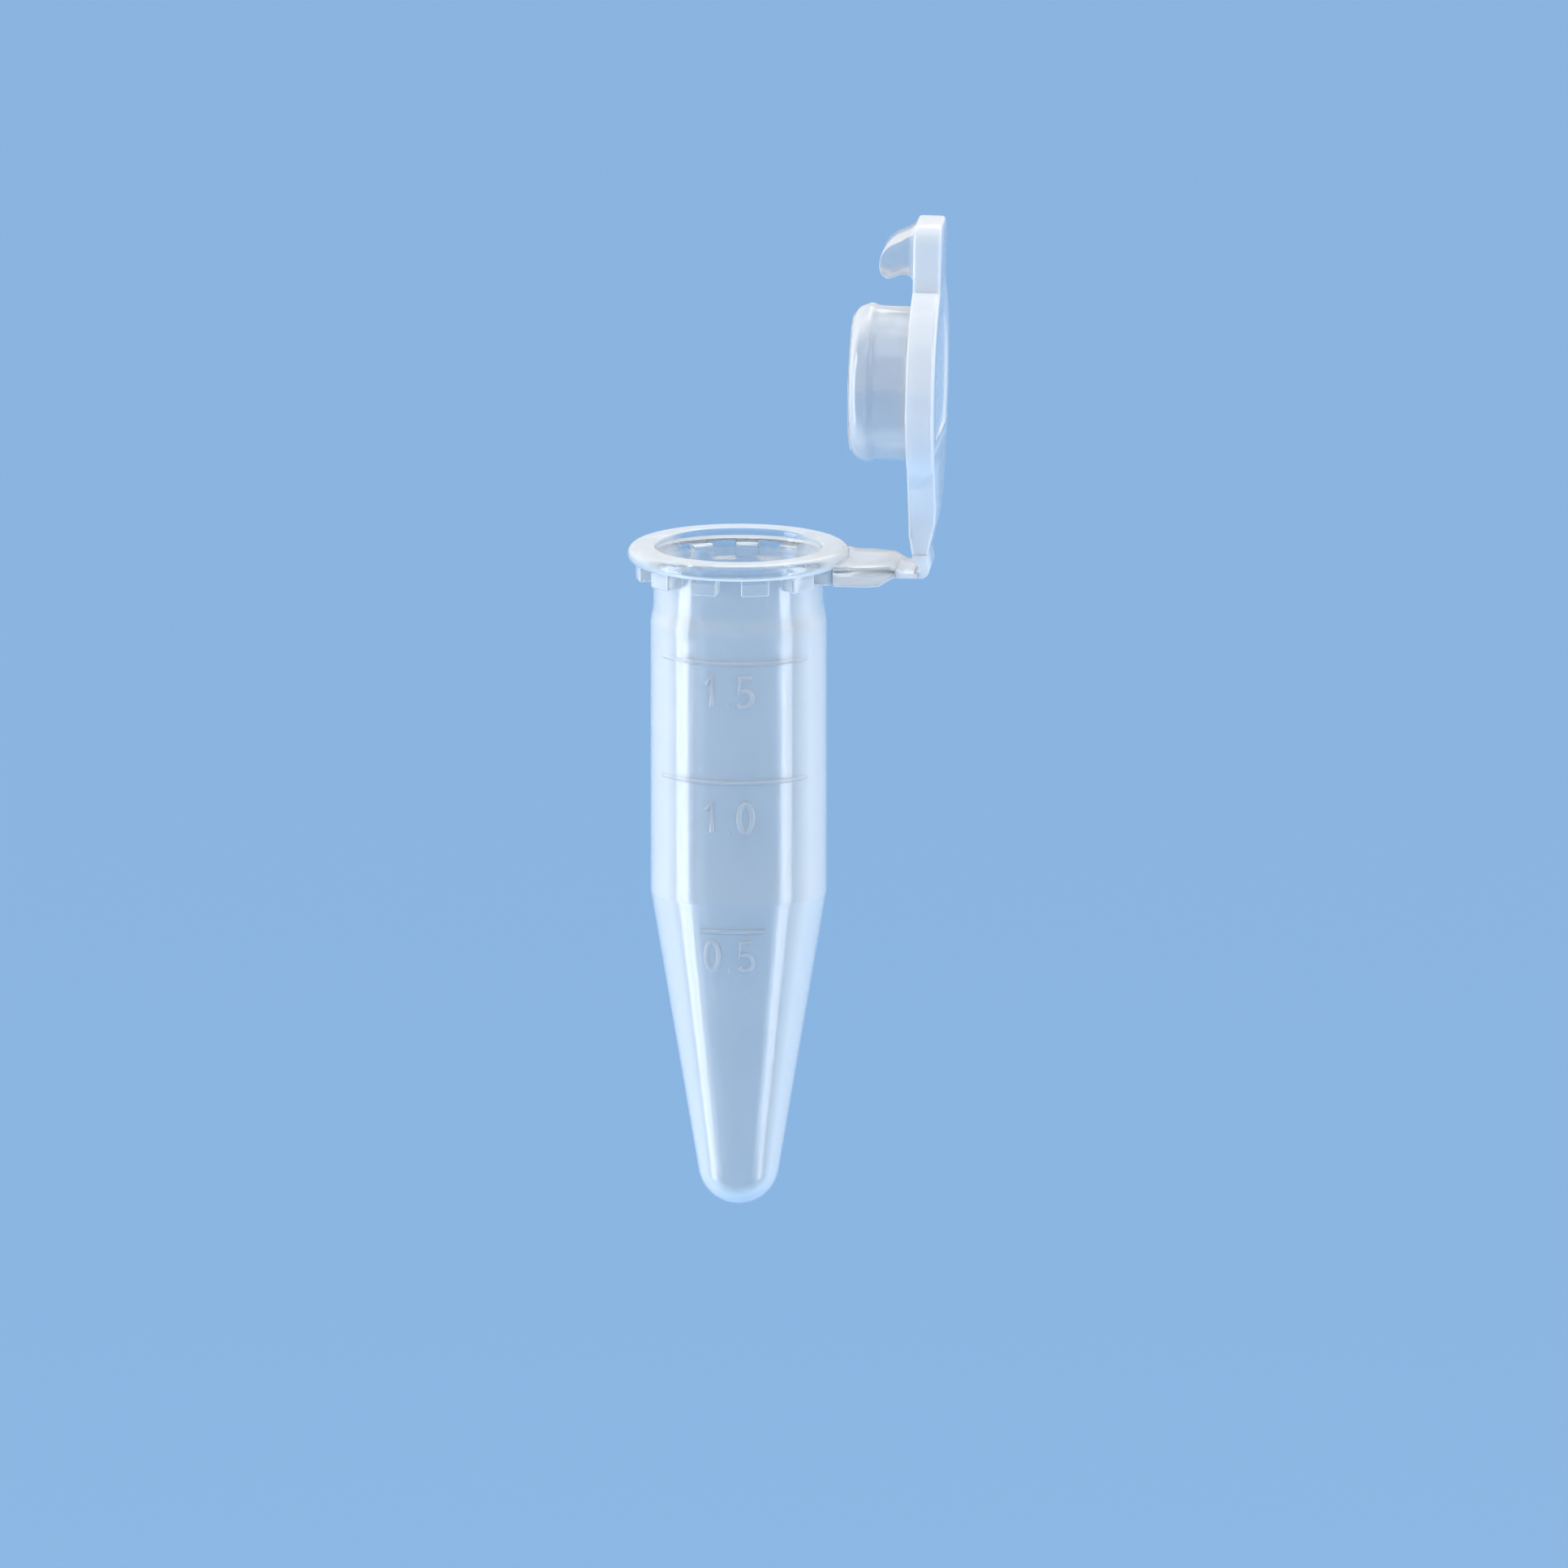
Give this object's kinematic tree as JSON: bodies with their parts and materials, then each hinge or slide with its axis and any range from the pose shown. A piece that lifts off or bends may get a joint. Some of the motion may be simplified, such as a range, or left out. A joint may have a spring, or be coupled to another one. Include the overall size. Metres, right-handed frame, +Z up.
{
  "type": "microcentrifuge tube",
  "caption": "Snap-cap conical microcentrifuge tube in translucent polypropylene, open, with its lid on a living hinge, a hollow sealing plug and a latch hook.",
  "frame": {"origin": "centre of the mouth, in the plane of the rim's top", "axes": "+Z up the tube's axis out of the mouth, +X towards the hinge, graduations facing -Y"},
  "size_m": [0.0191, 0.0134, 0.0606],
  "materials": {
    "clear_wall": "translucent, natural polypropylene, moulded gloss",
    "raised_marks": "translucent, slightly frosted",
    "hinge_film": "translucent, whitened where it has been bent",
    "lid_plastic": "translucent, natural polypropylene, moulded gloss"
  },
  "bodies": {
    "tube": {"barrel": "clear_wall", "conical_tip": "clear_wall", "rim_flange": "clear_wall", "rim_castellations": "clear_wall", "hinge_strap": "clear_wall", "graduation_lines": "raised_marks", "numeral_1_5": "raised_marks", "numeral_1_0": "raised_marks", "numeral_0_5": "raised_marks"},
    "hinge_web": {"living_hinge": "hinge_film"},
    "lid": {"lid_disc": "lid_plastic", "lid_tail": "lid_plastic", "sealing_plug": "lid_plastic", "latch_hook": "lid_plastic", "thumb_tab": "lid_plastic"}
  },
  "joints": [
    {"name": "strap_fold", "type": "hinge", "parent": "tube", "child": "hinge_web", "pos_m": [0.00975, 0, -0.00123], "axis": [0, 1, 0], "range_deg": [-45.45, 44.55], "deforming": ["living_hinge"]},
    {"name": "lid_fold", "type": "hinge", "parent": "hinge_web", "child": "lid", "pos_m": [0.01128, 0, 0.00027], "axis": [0, 1, 0], "range_deg": [-45.45, 44.55]}
  ],
  "couplings": [
    {"joint": "lid_fold", "follows": "strap_fold", "ratio": 1}
  ]
}
